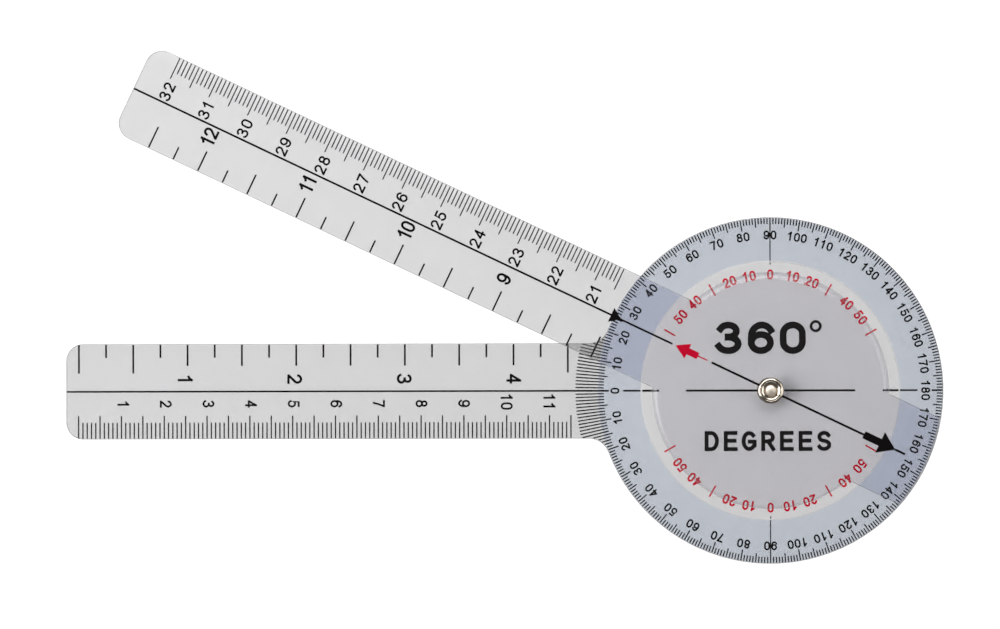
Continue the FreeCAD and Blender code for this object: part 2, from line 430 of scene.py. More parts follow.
@dataclass(frozen=True)
class NickelPlate:
    """Warm nickel: bright on its crests, satin on the rivet's floor, with painted shade darkening its
    grooves, the floor's wall and its outer foot.

    Args:
        name: name of the material.
        colour: colour of the bright metal.
        haze: colour where handling has dulled it.
        tarnish: colour of the painted shade in the grooves, along the floor's wall and at the outer foot.
        floor_radius: radius of the rivet's satin floor.
        groove_radius: radius of the groove between the rivet and its washer.
        rim_radius: outer radius of the washer.
    """

    name: str = "warm_nickel"
    colour: Colour = (0.77, 0.69, 0.59)
    haze: Colour = (0.50, 0.41, 0.31)
    tarnish: Colour = (0.10, 0.07, 0.05)
    floor_radius: float = 1.38 * MM
    groove_radius: float = 2.31 * MM
    rim_radius: float = 3.05 * MM

    def build(self) -> bpy.types.Material:
        """Make the node material."""
        material, nodes, shader = new_material(self.name)
        place = nodes.add("ShaderNodeTexCoord")
        radius = nodes.axis_distance(place)
        spots = nodes.noise(place, scale=1500.0, detail=4.0, roughness=0.6)
        colour = nodes.mix(nodes.step(spots, 0.45, 0.75), rgba(self.colour), rgba(self.haze))
        # Painted shade: the grooves, the floor's wall and the outer foot are darkened towards a dark
        # brown.
        grime = nodes.product(self.grime(nodes, radius), 0.85)
        on_floor = nodes.step(radius, self.floor_radius, self.floor_radius - 0.1 * MM)
        polish = nodes.scaled(spots, 0.14, 0.10)
        nodes.feed(shader.inputs["Base Color"], nodes.mix(grime, colour, rgba(self.tarnish)))
        nodes.feed(shader.inputs["Roughness"], nodes.math("MULTIPLY_ADD", on_floor, 0.26, polish))
        shader.inputs["Metallic"].default_value = 1.0
        bump = nodes.add("ShaderNodeBump", {"Strength": 0.15, "Distance": 0.01 * MM, "Height": spots})
        nodes.feed(shader.inputs["Normal"], bump.outputs[0])
        return material

    def grime(self, nodes: Nodes, radius: bpy.types.NodeSocket) -> bpy.types.NodeSocket:
        """Where shade is painted on the metal: 1 in the groove, along the floor's wall and at the outer
        foot.
        """
        from_groove = nodes.math("ABSOLUTE", nodes.math("SUBTRACT", radius, self.groove_radius))
        from_wall = nodes.math("ABSOLUTE", nodes.math("SUBTRACT", radius, self.floor_radius))
        in_groove = nodes.step(from_groove, 0.10 * MM, 0.03 * MM)
        in_wall = nodes.step(from_wall, 0.08 * MM, 0.02 * MM)
        at_foot = nodes.step(radius, self.rim_radius - 0.12 * MM, self.rim_radius + 0.06 * MM)
        return nodes.math("MAXIMUM", nodes.math("MAXIMUM", in_groove, in_wall), at_foot)


@dataclass(frozen=True)
class StudioPaper:
    """The plain pale sheet that the object lies on."""

    colour: Colour = (0.95, 0.95, 0.95)
    shading: float = 0.985              # a fibre's shade as a share of the colour

    def build(self) -> bpy.types.Material:
        """Make the node material."""
        material, nodes, shader = new_material("studio_paper")
        fibre = nodes.noise(nodes.add("ShaderNodeTexCoord"), scale=60.0, detail=3.0)
        shade = tuple(self.shading * c for c in self.colour)
        nodes.feed(shader.inputs["Base Color"], nodes.mix(fibre, rgba(self.colour), rgba(shade)))
        shader.inputs["Roughness"].default_value = 0.9
        shader.inputs["Specular IOR Level"].default_value = 0.1
        return material


# ---- flat shapes -------------------------------------------------------------------------------------

class FlatShapes:
    """Collects flat outlines and strokes, and turns them into one mesh of thin closed films."""

    def __init__(self) -> None:
        """Start with nothing drawn."""
        self.corners: list[Point] = []
        self.patches: list[tuple[int, ...]] = []

    def outline(self, points: list[Point]) -> None:
        """Add one convex outline, drawn anticlockwise."""
        start = len(self.corners)
        self.corners.extend(points)
        self.patches.append(tuple(range(start, start + len(points))))

    def bar(self, start: Point, end: Point, width: float) -> None:
        """Add a straight bar with square ends."""
        self.stroke([start, end], width, closed=False, cap=0.0)

    def stroke(self, path: list[Point], width: float, closed: bool, cap: float) -> None:
        """Add a line of even width along a path.

        Args:
            path: points along the middle of the line.
            width: width of the line.
            closed: whether the last point joins the first.
            cap: how far an open line runs on past its two end points.
        """
        count = len(path)
        start = len(self.corners)
        for index in range(count):
            here = Vector(path[index])
            before = Vector(path[index - 1]) if closed or index else None
            after = Vector(path[(index + 1) % count]) if closed or index < count - 1 else None
            arriving = (here - before).normalized() if before is not None else (after - here).normalized()
            leaving = (after - here).normalized() if after is not None else arriving
            along = (arriving + leaving).normalized()
            spread = width / 2 / max(0.5, along.dot(arriving))
            side = Vector((-along.y, along.x)) * spread
            if not closed and index == 0:
                here = here - along * cap
            if not closed and index == count - 1:
                here = here + along * cap
            self.corners.append(tuple(here + side))
            self.corners.append(tuple(here - side))
        for index in range(count if closed else count - 1):
            a = start + 2 * index
            b = start + 2 * ((index + 1) % count)
            self.patches.append((a, a + 1, b + 1, b))

    def merge(self, other: "FlatShapes", at: Point, turn: float) -> None:
        """Add a copy of another drawing, turned and then moved."""
        start = len(self.corners)
        for x, y in other.corners:
            turned = (x * cos(turn) - y * sin(turn), x * sin(turn) + y * cos(turn))
            self.corners.append((at[0] + turned[0], at[1] + turned[1]))
        self.patches.extend(tuple(start + corner for corner in patch) for patch in other.patches)

    def film(self, name: str, bottom: float, top: float) -> bpy.types.Object:
        """Make the mesh: every patch closed between two heights, with shared walls only at its outside.

        Args:
            name: name of the piece.
            bottom: height of the lower faces.
            top: height of the upper faces.

        Returns:
            The new object, in the scene.
        """
        edges: dict[tuple[int, int], int] = {}
        for patch in self.patches:
            for pair in zip(patch, patch[1:] + patch[:1]):
                key = (min(pair), max(pair))
                edges[key] = edges.get(key, 0) + 1
        count = len(self.corners)
        points = [(x, y, bottom) for x, y in self.corners] + [(x, y, top) for x, y in self.corners]
        faces: list[tuple[int, ...]] = []
        for patch in self.patches:
            faces.append(tuple(reversed(patch)))
            faces.append(tuple(corner + count for corner in patch))
            for a, b in zip(patch, patch[1:] + patch[:1]):
                if edges[(min(a, b), max(a, b))] == 1:
                    faces.append((a, b, b + count, a + count))
        mesh = bpy.data.meshes.new(name)
        mesh.from_pydata(points, [], faces)
        mesh.validate()
        return add_object(name, mesh)


def oval(centre: Point, radii: Point, start: float, end: float, steps: int = 14) -> list[Point]:
    """Points along an ellipse's arc, from one angle to another in degrees."""
    angles = [radians(start + (end - start) * i / steps) for i in range(steps + 1)]
    return [(centre[0] + radii[0] * cos(a), centre[1] + radii[1] * sin(a)) for a in angles]


# ---- numerals ----------------------------------------------------------------------------------------

@dataclass(frozen=True)
class Lettering:
    """Plain upright sans numerals and capitals, drawn as strokes of even width.

    Args:
        height: height of a sign over its strokes.
        weight: stroke width as a share of the height.
        aspect: width of a sign over its strokes as a share of the height.
        pitch: distance from one sign to the next as a share of the height.
    """

    height: float
    weight: float = 0.16
    aspect: float = 0.66
    pitch: float = 0.78

    def strokes(self, sign: str) -> list[tuple[list[Point], bool]]:
        """The middle lines of one sign in a unit square.

        Args:
            sign: one digit or capital.

        Returns:
            Paths, each with whether it closes on itself.
        """
        if sign == "9":
            return [([(1 - x, 1 - y) for x, y in path], closed) for path, closed in self.strokes("6")]
        top_round = oval((0.5, 0.66), (0.5, 0.34), 0, 180)
        shapes: dict[str, list[tuple[list[Point], bool]]] = {
            "0": [(top_round + [(x, 1 - y) for x, y in reversed(top_round)], True)],
            "1": [([(0.16, 0.77), (0.42, 0.86), (0.58, 1.0)], False), ([(0.60, 1.0), (0.60, 0.0)], False)],
            "2": [(oval((0.49, 0.715), (0.47, 0.285), 168, -38) + [(0.04, 0.04)], False),
                  ([(0.04, 0.0), (0.98, 0.0)], False)],
            "3": [(oval((0.46, 0.765), (0.43, 0.235), 158, -90), False),
                  (oval((0.46, 0.265), (0.52, 0.265), 90, -160), False)],
            "4": [([(0.74, 0.0), (0.74, 1.0)], False), ([(0.70, 0.95), (0.02, 0.30)], False),
                  ([(0.02, 0.27), (1.0, 0.27)], False)],
            "5": [([(0.90, 1.0), (0.24, 1.0)], False),
                  ([(0.20, 1.0), (0.07, 0.50)] + oval((0.47, 0.32), (0.52, 0.32), 128, -160), False)],
            "6": [(oval((0.5, 0.315), (0.5, 0.315), 0, 348, 20), True),
                  (oval((0.55, 0.56), (0.55, 0.44), 32, 180) + [(0.0, 0.32)], False)],
            "7": [([(0.0, 1.0), (0.96, 1.0)], False), ([(0.98, 0.98), (0.62, 0.52), (0.36, 0.0)], False)],
            "8": [(oval((0.5, 0.77), (0.42, 0.23), 0, 342, 18), True),
                  (oval((0.5, 0.27), (0.5, 0.27), 0, 342, 18), True)],
            "D": [([(0.04, 0.0), (0.45, 0.0)] + oval((0.45, 0.5), (0.51, 0.5), -80, 80)
                   + [(0.45, 1.0), (0.04, 1.0)], True)],
            "E": [([(0.94, 1.0), (0.08, 1.0), (0.08, 0.0), (0.96, 0.0)], False),
                  ([(0.08, 0.52), (0.86, 0.52)], False)],
            "G": [(oval((0.5, 0.5), (0.5, 0.5), 45, 325)
                   + [(0.98, 0.22), (0.98, 0.46), (0.56, 0.46)], False)],
            "R": [([(0.08, 0.0), (0.08, 1.0), (0.55, 1.0)] + oval((0.55, 0.74), (0.38, 0.26), 80, -90)
                   + [(0.10, 0.48)], False), ([(0.52, 0.48), (0.97, 0.0)], False)],
            "S": [(oval((0.5, 0.755), (0.42, 0.245), 25, 262)
                   + oval((0.5, 0.25), (0.46, 0.25), 82, -155), False)],
        }
        return shapes[sign]

    def write(self, words: str, at: Point, turn: float, into: FlatShapes) -> None:
        """Draw a number or a word centred on a point.

        Args:
            words: its signs.
            at: its middle.
            turn: angle from +Y to the way its top points.
            into: drawing that takes it.
        """
        line = self.weight * self.height
        wide = self.aspect * self.height - line
        tall = self.height - line
        for index, sign in enumerate(words):
            offset = (index - (len(words) - 1) / 2) * self.pitch * self.height
            glyph = FlatShapes()
            for path, closed in self.strokes(sign):
                placed = [(offset + (x - 0.5) * wide, (y - 0.5) * tall) for x, y in path]
                glyph.stroke(placed, line, closed, line / 2)
            into.merge(glyph, at, turn)


# ---- pieces ------------------------------------------------------------------------------------------

def finish_piece(piece: bpy.types.Object, body: Body, material: bpy.types.Material, slot: Slot,
                 turn: float = 0.0) -> None:
    """Turn a film to its arm, dress it and let it ride on its body; it is too thin to cast a shadow."""
    piece.visible_shadow = False
    piece.data.transform(Matrix.Rotation(turn, 4, "Z"))
    piece.data.materials.clear()
    piece.data.materials.append(material)
    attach(piece, body.value)
    log.info("%s: %d faces on %s", piece.name, len(piece.data.polygons), body.value)


class ScaleTree:
    """Base of the two Geometry Nodes trees that print repeated marks as thin bars."""

    def __init__(self, name: str, numbers: dict[str, float], counts: dict[str, int]) -> None:
        """Open a tree with named inputs.

        Args:
            name: name of the tree.
            numbers: inputs that hold a length or an angle, with their values.
            counts: inputs that hold a whole number, with their values.
        """
        self.values: dict[str, float | int] = {**numbers, **counts}
        self.group = bpy.data.node_groups.new(name, "GeometryNodeTree")
        self.identifiers: dict[str, str] = {}
        for label in self.values:
            kind = "NodeSocketInt" if label in counts else "NodeSocketFloat"
            socket = self.group.interface.new_socket(name=label, in_out="INPUT", socket_type=kind)
            self.identifiers[label] = socket.identifier
        self.group.interface.new_socket(name="Geometry", in_out="OUTPUT", socket_type="NodeSocketGeometry")
        self.nodes = Nodes(self.group)
        self.source = self.nodes.add("NodeGroupInput")

    def value(self, label: str) -> bpy.types.NodeSocket:
        """The output socket of a named input."""
        return self.source.outputs[label]

    def choose(self, test: object, when_true: object, when_false: object) -> bpy.types.NodeSocket:
        """One of two numbers, by a test that is 0 or 1."""
        gain = self.nodes.math("SUBTRACT", when_true, when_false)
        return self.nodes.math("MULTIPLY_ADD", test, gain, when_false)

    def every(self, index: bpy.types.NodeSocket, count: bpy.types.NodeSocket) -> bpy.types.NodeSocket:
        """1 at each whole multiple of count, and 0 between."""
        left = self.nodes.math("MODULO", index, count)
        return self.nodes.math("LESS_THAN", left, 0.5)

    def bars(self, points: bpy.types.NodeSocket, offset: bpy.types.NodeSocket, turn: object,
             length: bpy.types.NodeSocket, ink: bpy.types.Material) -> None:
        """Put a bar on each point, and end the tree in Realize Instances and Set Material.

        Args:
            points: the points.
            offset: where each bar's middle lies, from its point.
            turn: angle of each bar about +Z.
            length: length of each bar.
            ink: material of the bars.
        """
        nodes = self.nodes
        moved = nodes.add("GeometryNodeSetPosition", {"Geometry": points, "Offset": offset})
        bar = nodes.add("GeometryNodeMeshCube", {"Size": (1.0, 1.0, 1.0)})
        size = nodes.add("ShaderNodeCombineXYZ", {
            0: self.value("Width"), 1: length, 2: self.value("Thickness")})
        spin = nodes.add("ShaderNodeCombineXYZ", {2: turn})
        placed = nodes.add("GeometryNodeInstanceOnPoints", {
            "Points": moved.outputs[0], "Instance": bar.outputs["Mesh"],
            "Rotation": spin.outputs[0], "Scale": size.outputs[0]})
        real = nodes.add("GeometryNodeRealizeInstances", {0: placed.outputs[0]})
        inked = nodes.add("GeometryNodeSetMaterial", {"Geometry": real.outputs[0], "Material": ink})
        nodes.add("NodeGroupOutput", {0: inked.outputs[0]})

    def make(self, name: str) -> bpy.types.Object:
        """Run the tree and keep its result as a plain mesh.

        Args:
            name: name of the piece.

        Returns:
            The finished object, with no modifier.
        """
        carrier = add_object(name + "_carrier", bpy.data.meshes.new(name + "_carrier"))
        modifier = carrier.modifiers.new("scale", "NODES")
        modifier.node_group = self.group
        for label, value in self.values.items():
            modifier[self.identifiers[label]] = value
        graph = bpy.context.evaluated_depsgraph_get()
        mesh = bpy.data.meshes.new_from_object(carrier.evaluated_get(graph))
        bpy.data.objects.remove(carrier)
        mesh.name = name
        return add_object(name, mesh)


class RulerScale(ScaleTree):
    """A straight row of marks from an edge inwards, with middle, major and a few long ones."""

    def __init__(self, name: str, count: int, pitch: float, lengths: tuple[float, float, float, float],
                 middle_every: int, major_every: int, extra_long: int, width: float, start: Point,
                 height: float, inward: float, ink: bpy.types.Material) -> None:
        """Lay out one scale.

        Args:
            name: name of the tree.
            count: number of marks.
            pitch: distance between marks, along +X.
            lengths: minor, middle, major and long marks.
            middle_every: marks from one middle mark to the next.
            major_every: marks from one major mark to the next.
            extra_long: number of one mark that is long, besides the first and the last.
            width: width of a mark.
            start: outer end of the first mark.
            height: height of the middle of the film.
            inward: 1 where marks run towards +Y, -1 where they run towards -Y.
            ink: material of the marks.
        """
        minor, middle, major, long = lengths
        super().__init__(name, {
            "Pitch": pitch, "Minor length": minor, "Middle length": middle, "Major length": major,
            "Long length": long, "Width": width, "Thickness": INK_SUNK + INK_THICK, "Start X": start[0],
            "Edge Y": start[1], "Height": height, "Inward": inward,
        }, {
            "Count": count, "Middle every": middle_every, "Major every": major_every,
            "Extra long": extra_long,
        })
        nodes = self.nodes
        row = nodes.add("GeometryNodeMeshLine", {"Count": self.value("Count")}, mode="OFFSET")
        first = nodes.add("ShaderNodeCombineXYZ", {
            0: self.value("Start X"), 1: self.value("Edge Y"), 2: self.value("Height")})
        pace = nodes.add("ShaderNodeCombineXYZ", {0: self.value("Pitch")})
        nodes.feed(row.inputs["Start Location"], first.outputs[0])
        nodes.feed(row.inputs["Offset"], pace.outputs[0])
        index = nodes.add("GeometryNodeInputIndex").outputs[0]
        length = self.choose(self.every(index, self.value("Middle every")), self.value("Middle length"),
                             self.value("Minor length"))
        length = self.choose(self.every(index, self.value("Major every")), self.value("Major length"),
                             length)
        last = nodes.math("SUBTRACT", self.value("Count"), 1.0)
        for special in (0.0, last, self.value("Extra long")):
            is_special = nodes.math("COMPARE", index, special, 0.5)
            length = self.choose(is_special, self.value("Long length"), length)
        half = nodes.math("MULTIPLY", nodes.math("MULTIPLY", length, 0.5), self.value("Inward"))
        offset = nodes.add("ShaderNodeCombineXYZ", {1: half})
        self.bars(row.outputs[0], offset.outputs[0], 0.0, length, ink)


class DegreeRing(ScaleTree):
    """One mark a degree round the dial, run on outwards where the arm's sheet joins the rim."""

    def __init__(self, rim: float, inner: tuple[float, float, float], half_width: float, arm_reach: float,
                 fillet: float, width: float, height: float, ink: bpy.types.Material) -> None:
        """Lay out the ring.

        Args:
            rim: outer end of the marks round the dial.
            inner: inner ends of the 1, 5 and 10 degree marks.
            half_width: half the width of the arm that the marks may cover.
            arm_reach: outer end of the marks on the arm.
            fillet: radius of the fillets between arm and dial.
            width: width of a mark.
            height: height of the middle of the film.
            ink: material of the marks.
        """
        fillet_y = half_width + fillet
        fillet_distance = rim + fillet
        super().__init__("degree_ring", {
            "Rim radius": rim, "Inner 1": inner[0], "Inner 5": inner[1], "Inner 10": inner[2],
            "Arm half width": half_width, "Arm reach": arm_reach, "Fillet radius": fillet,
            "Fillet distance": fillet_distance, "Fillet angle": asin(fillet_y / fillet_distance),
            "Width": width, "Thickness": INK_SUNK + INK_THICK, "Height": height,
        }, {"Count": 360})
        nodes = self.nodes
        index = nodes.add("GeometryNodeInputIndex").outputs[0]
        turn = nodes.math("MULTIPLY", index, nodes.math("DIVIDE", 2 * pi, self.value("Count")))
        row = nodes.add("GeometryNodeMeshLine", {"Count": self.value("Count"), "Offset": (0.0, 0.0, 0.0)},
                        mode="OFFSET")
        inner_end = self.choose(self.every(index, 5.0), self.value("Inner 5"), self.value("Inner 1"))
        inner_end = self.choose(self.every(index, 10.0), self.value("Inner 10"), inner_end)
        outer_end = self.outer_end(turn)
        length = nodes.math("SUBTRACT", outer_end, inner_end)
        middle = nodes.math("MULTIPLY", nodes.math("ADD", outer_end, inner_end), 0.5)
        minus_x = nodes.math("MULTIPLY", middle, nodes.math("MULTIPLY", nodes.math("COSINE", turn), -1.0))
        minus_y = nodes.math("MULTIPLY", middle, nodes.math("MULTIPLY", nodes.math("SINE", turn), -1.0))
        offset = nodes.add("ShaderNodeCombineXYZ", {0: minus_x, 1: minus_y, 2: self.value("Height")})
        self.bars(row.outputs[0], offset.outputs[0], nodes.math("ADD", turn, pi / 2), length, ink)

    def outer_end(self, turn: bpy.types.NodeSocket) -> bpy.types.NodeSocket:
        """The radius at which a mark ends: the rim, the arm's side, the fillet or the arm's own limit.

        Args:
            turn: angle of the mark from -X.

        Returns:
            The radius.
        """
        nodes = self.nodes
        away = nodes.math("ABSOLUTE", nodes.math("WRAP", turn, pi, -pi))
        to_side = nodes.math("DIVIDE", self.value("Arm half width"),
                             nodes.math("MAXIMUM", nodes.math("SINE", away), 0.001))
        lean = nodes.math("SUBTRACT", self.value("Fillet angle"), away)
        across = nodes.math("MULTIPLY", self.value("Fillet distance"), nodes.math("SINE", lean))
        inside = nodes.math("SUBTRACT", nodes.math("POWER", self.value("Fillet radius"), 2.0),
                            nodes.math("POWER", across, 2.0))
        depth = nodes.math("SQRT", nodes.math("MAXIMUM", inside, 0.0))
        to_fillet = nodes.math("SUBTRACT", nodes.math(
            "MULTIPLY", self.value("Fillet distance"), nodes.math("COSINE", lean)), depth)
        meets_fillet = nodes.math("GREATER_THAN", inside, 0.0)
        limit = nodes.math("MINIMUM", self.value("Arm reach"), to_side)
        limit = self.choose(meets_fillet, nodes.math("MINIMUM", self.value("Arm reach"), to_fillet), limit)
        on_arm = nodes.math("LESS_THAN", away, self.value("Fillet angle"))
        return self.choose(on_arm, limit, self.value("Rim radius"))


@dataclass
class RulerPrint:
    """What both rulers share: a millimetre scale on one edge and an inch scale on the other.

    Args:
        sheets: sizes of the plates.
        black: the ink.
        height: height of the printed face.
        label_height: height of the centimetre numbers.
        inch_label_height: height of the inch numbers.
        pair_shift: how much nearer to the middle line a number of two digits lies.
        millimetre_lengths: lengths of the marks, plain and every fifth.
        inch_lengths: lengths of the marks, quarter and half.
    """

    sheets: Sheets
    black: bpy.types.Material
    height: float
    label_height: float = 2.8 * MM
    inch_label_height: float = 3.5 * MM
    pair_shift: float = 0.4 * MM
    millimetre_lengths: tuple[float, float] = (3.7 * MM, 5.3 * MM)
    inch_lengths: tuple[float, float] = (3.05 * MM, 4.95 * MM)

    def film_middle(self) -> float:
        """Height of the middle of an ink film on this face."""
        return self.height + (INK_THICK - INK_SUNK) / 2

    def film(self, shapes: FlatShapes, name: str) -> bpy.types.Object:
        """A drawing made into an ink film on this face."""
        return shapes.film(name, self.height - INK_SUNK, self.height + INK_THICK)

    def millimetres(self, name: str, first_x: float, side: int, pitch: float,
                    width: float) -> bpy.types.Object:
        """The millimetre marks along one edge.

        Args:
            name: name of the piece.
            first_x: where the first mark stands.
            side: 1 for the upper edge, -1 for the lower.
            pitch: distance from one mark to the next.
            width: width of a mark.

        Returns:
            The piece.
        """
        minor, major = self.millimetre_lengths
        edge = side * (self.sheets.half_width - EDGE_ROUND)
        scale = RulerScale(
            name, count=MILLIMETRE_MARKS, pitch=pitch, lengths=(minor, major, major, major),
            middle_every=5, major_every=10, extra_long=0, width=width, start=(first_x, edge),
            height=self.film_middle(), inward=-side, ink=self.black)
        return scale.make(name)

    def inches(self, name: str, first_x: float, side: int, pitch: float, long: float, extra_long: int,
               width: float) -> bpy.types.Object:
        """The quarter-inch marks along one edge.

        Args:
            name: name of the piece.
            first_x: where the first mark stands.
            side: 1 for the upper edge, -1 for the lower.
            pitch: distance from one mark to the next.
            long: length of the first and the last mark.
            extra_long: number of one more long mark.
            width: width of a mark.

        Returns:
            The piece.
        """
        quarter, half = self.inch_lengths
        edge = side * (self.sheets.half_width - EDGE_ROUND)
        scale = RulerScale(
            name, count=QUARTER_INCH_MARKS, pitch=pitch, lengths=(quarter, half, half, long),
            middle_every=2, major_every=4, extra_long=extra_long, width=width, start=(first_x, edge),
            height=self.film_middle(), inward=-side, ink=self.black)
        return scale.make(name)

    def labels(self, into: FlatShapes, numbers: range, unit: float, style: Lettering, across: float,
               ruler_sign: int, facing: Facing, along: float) -> None:
        """Write a row of numbers beside their marks.

        Args:
            into: drawing that takes them.
            numbers: the numbers.
            unit: distance from one number to the next.
            style: style of the numerals.
            across: distance above the middle line; a number of two digits lies a little nearer to it.
            ruler_sign: 1 where the ruler counts towards the pivot, -1 where it counts away.
            facing: which way the numerals' tops point.
            along: how far the row is printed off its marks, towards the pivot.
        """
        turn = -pi / 2 + facing.value
        for number in numbers:
            x = ruler_sign * (number * unit - RULER_AT_PIVOT) + along
            two_digits = self.mixed_lengths(numbers) and number > 9
            nearer = copysign(self.pair_shift, across) if two_digits else 0.0
            style.write(str(number), (x, across - nearer), turn, into)

    @staticmethod
    def mixed_lengths(numbers: range) -> bool:
        """Whether a row has both one-digit and two-digit numbers."""
        return numbers.start < 10 < numbers.stop


@dataclass
class StationaryPrint(RulerPrint):
    """Print on the stationary arm and the dial."""

    red: bpy.types.Material | None = None
    tint: bpy.types.Material | None = None
    line_width: float = 0.41 * MM
    upright_width: float = 0.25 * MM
    centre_width: float = 0.49 * MM
    number_radius: float = 36.3 * MM
    number_height: float = 2.1 * MM
    printed_short: float = 0.42 * MM
    red_radius_top: float = 27.1 * MM
    red_radius_bottom: float = 27.35 * MM
    red_height: float = 2.35 * MM

    def build(self) -> None:
        """Make and dress every film of this print."""
        first_x = -RULER_AT_PIVOT + self.printed_short
        black_pieces = [
            self.millimetres("stationary_millimetre_marks", first_x, side=-1, pitch=1.0 * MM,
                             width=0.30 * MM),
            self.inches("stationary_inch_marks", first_x + 0.1 * MM, side=1, pitch=6.345 * MM,
                        long=6.65 * MM, extra_long=2, width=0.42 * MM),
            self.degree_marks(),
            self.numbers(),
            self.band_lines(),
            self.centre_lines(),
            self.legends(),
        ]
        for piece in black_pieces:
            finish_piece(piece, Body.STATIONARY, self.black, Slot.BLACK)
        finish_piece(self.tilt_scale(), Body.STATIONARY, self.red, Slot.RED)
        finish_piece(self.number_band(), Body.STATIONARY, self.tint, Slot.TINT)

    def degree_marks(self) -> bpy.types.Object:
        """The 360 marks of the dial."""
        ring = DegreeRing(
            rim=self.sheets.rim - EDGE_ROUND, inner=(38.9 * MM, 38.15 * MM, 37.7 * MM),
            half_width=self.sheets.half_width - EDGE_ROUND, arm_reach=45.5 * MM,
            fillet=4.9 * MM + EDGE_ROUND, width=0.29 * MM, height=self.film_middle(), ink=self.black)
        return ring.make("degree_marks")

    def numbers(self) -> bpy.types.Object:
        """Centimetre, inch and degree numbers."""
        shapes = FlatShapes()
        small = Lettering(self.label_height, aspect=0.61, pitch=0.73)
        large = Lettering(self.inch_label_height)
        self.labels(shapes, range(1, 12), unit=9.953 * MM, style=small, across=-2.9 * MM,
                    ruler_sign=1, facing=Facing.TO_PIVOT, along=0.90 * MM)
        self.labels(shapes, range(1, 5), unit=25.59 * MM, style=large, across=2.87 * MM,
                    ruler_sign=1, facing=Facing.TO_PIVOT, along=-0.26 * MM)
        numerals = Lettering(self.number_height, weight=0.185)
        for value in range(0, 181, 10):
            for side in (1, -1) if 0 < value < 180 else (1,):
                angle = pi - side * radians(value)
                at = (self.number_radius * cos(angle), self.number_radius * sin(angle))
                numerals.write(str(value), at, angle - pi / 2, shapes)
        return self.film(shapes, "stationary_numbers")

    def band_lines(self) -> bpy.types.Object:
        """The middle line of the arm, and the lines through 0, 90 and 180 on the number band."""
        shapes = FlatShapes()
        width = self.line_width
        tip = self.sheets.reach - EDGE_ROUND
        rim = self.sheets.rim - EDGE_ROUND
        inner = CENTRE_RADIUS
        shapes.bar((-tip, 0.0), (-37.8 * MM, 0.0), width)
        shapes.bar((-34.4 * MM, 0.0), (-inner, 0.0), width)
        shapes.bar((inner, 0.0), (34.4 * MM, 0.0), width)
        shapes.bar((37.7 * MM, 0.0), (rim, 0.0), width)
        shapes.bar((0.0, inner), (0.0, rim), self.upright_width)
        shapes.bar((0.0, -rim), (0.0, -inner), self.upright_width)
        return self.film(shapes, "band_lines")

    def centre_lines(self) -> bpy.types.Object:
        """The lines on the dial's raised centre disc."""
        shapes = FlatShapes()
        width = self.centre_width
        edge = CENTRE_RADIUS - 0.37 * MM
        shapes.bar((-edge, 0.0), (-26.0 * MM, 0.0), width)
        shapes.bar((-19.7 * MM, 0.0), (-2.2 * MM, 0.0), width)
        shapes.bar((2.2 * MM, 0.0), (19.8 * MM, 0.0), width)
        shapes.bar((26.2 * MM, 0.0), (edge, 0.0), width)
        shapes.bar((0.0, 29.4 * MM), (0.0, edge), self.upright_width)
        shapes.bar((0.0, -edge), (0.0, -29.4 * MM), self.upright_width)
        return self.centre_film(shapes, "centre_lines")

    def centre_film(self, shapes: FlatShapes, name: str) -> bpy.types.Object:
        """A drawing made into an ink film on the raised centre disc."""
        return shapes.film(name, self.sheets.centre_top - INK_SUNK, self.sheets.centre_top + INK_THICK)

    def tilt_scale(self) -> bpy.types.Object:
        """The red numbers and marks that count both ways from the top and the bottom of the dial."""
        shapes = FlatShapes()
        numerals = Lettering(self.red_height, weight=0.19, aspect=0.62, pitch=0.72)
        halves = (
            (pi / 2, self.red_radius_top, -0.5, 1.1),
            (-pi / 2, self.red_radius_bottom, 0.3, 0.6),
        )
        for middle, radius, left_shift, right_shift in halves:
            for value in range(-60, 61, 10):
                if abs(value) in (30, 60):
                    angle = middle - radians(value)
                    ends = [(r * cos(angle), r * sin(angle)) for r in (25.6 * MM, 28.6 * MM)]
                    shapes.bar(ends[0], ends[1], 0.37 * MM)
                else:
                    shift = left_shift if value < 0 else right_shift if value > 0 else 0.0
                    angle = middle - radians(value + shift)
                    at = (radius * cos(angle), radius * sin(angle))
                    numerals.write(str(abs(value)), at, angle - pi / 2, shapes)
        return self.centre_film(shapes, "red_tilt_scale")

    def legends(self) -> bpy.types.Object:
        """Two plain words in the middle of the dial: what the dial covers, and its unit."""
        shapes = FlatShapes()
        large = Lettering(7.6 * MM, weight=0.21, aspect=0.80, pitch=0.98)
        large.write("360", (-2.2 * MM, 12.3 * MM), 0.0, shapes)
        ring = oval((10.6 * MM, 15.0 * MM), (1.1 * MM, 1.1 * MM), 0, 342, 18)
        shapes.stroke(ring, 0.65 * MM, True, 0.0)
        small = Lettering(4.7 * MM, weight=0.20, aspect=0.76, pitch=0.93)
        small.write("DEGREES", (-0.6 * MM, -11.8 * MM), 0.0, shapes)
        return self.centre_film(shapes, "centre_legend")

    def number_band(self) -> bpy.types.Object:
        """The tinted ring that the degree numbers stand on."""
        shapes = FlatShapes()
        inner = CENTRE_RADIUS + 0.02 * MM
        outer = self.sheets.rim - EDGE_ROUND
        middle = (inner + outer) / 2
        shapes.stroke(oval((0.0, 0.0), (middle, middle), 0, 358, 179), outer - inner, True, 0.0)
        return shapes.film("number_band_tint", self.height - INK_SUNK, self.height + TINT_THICK)


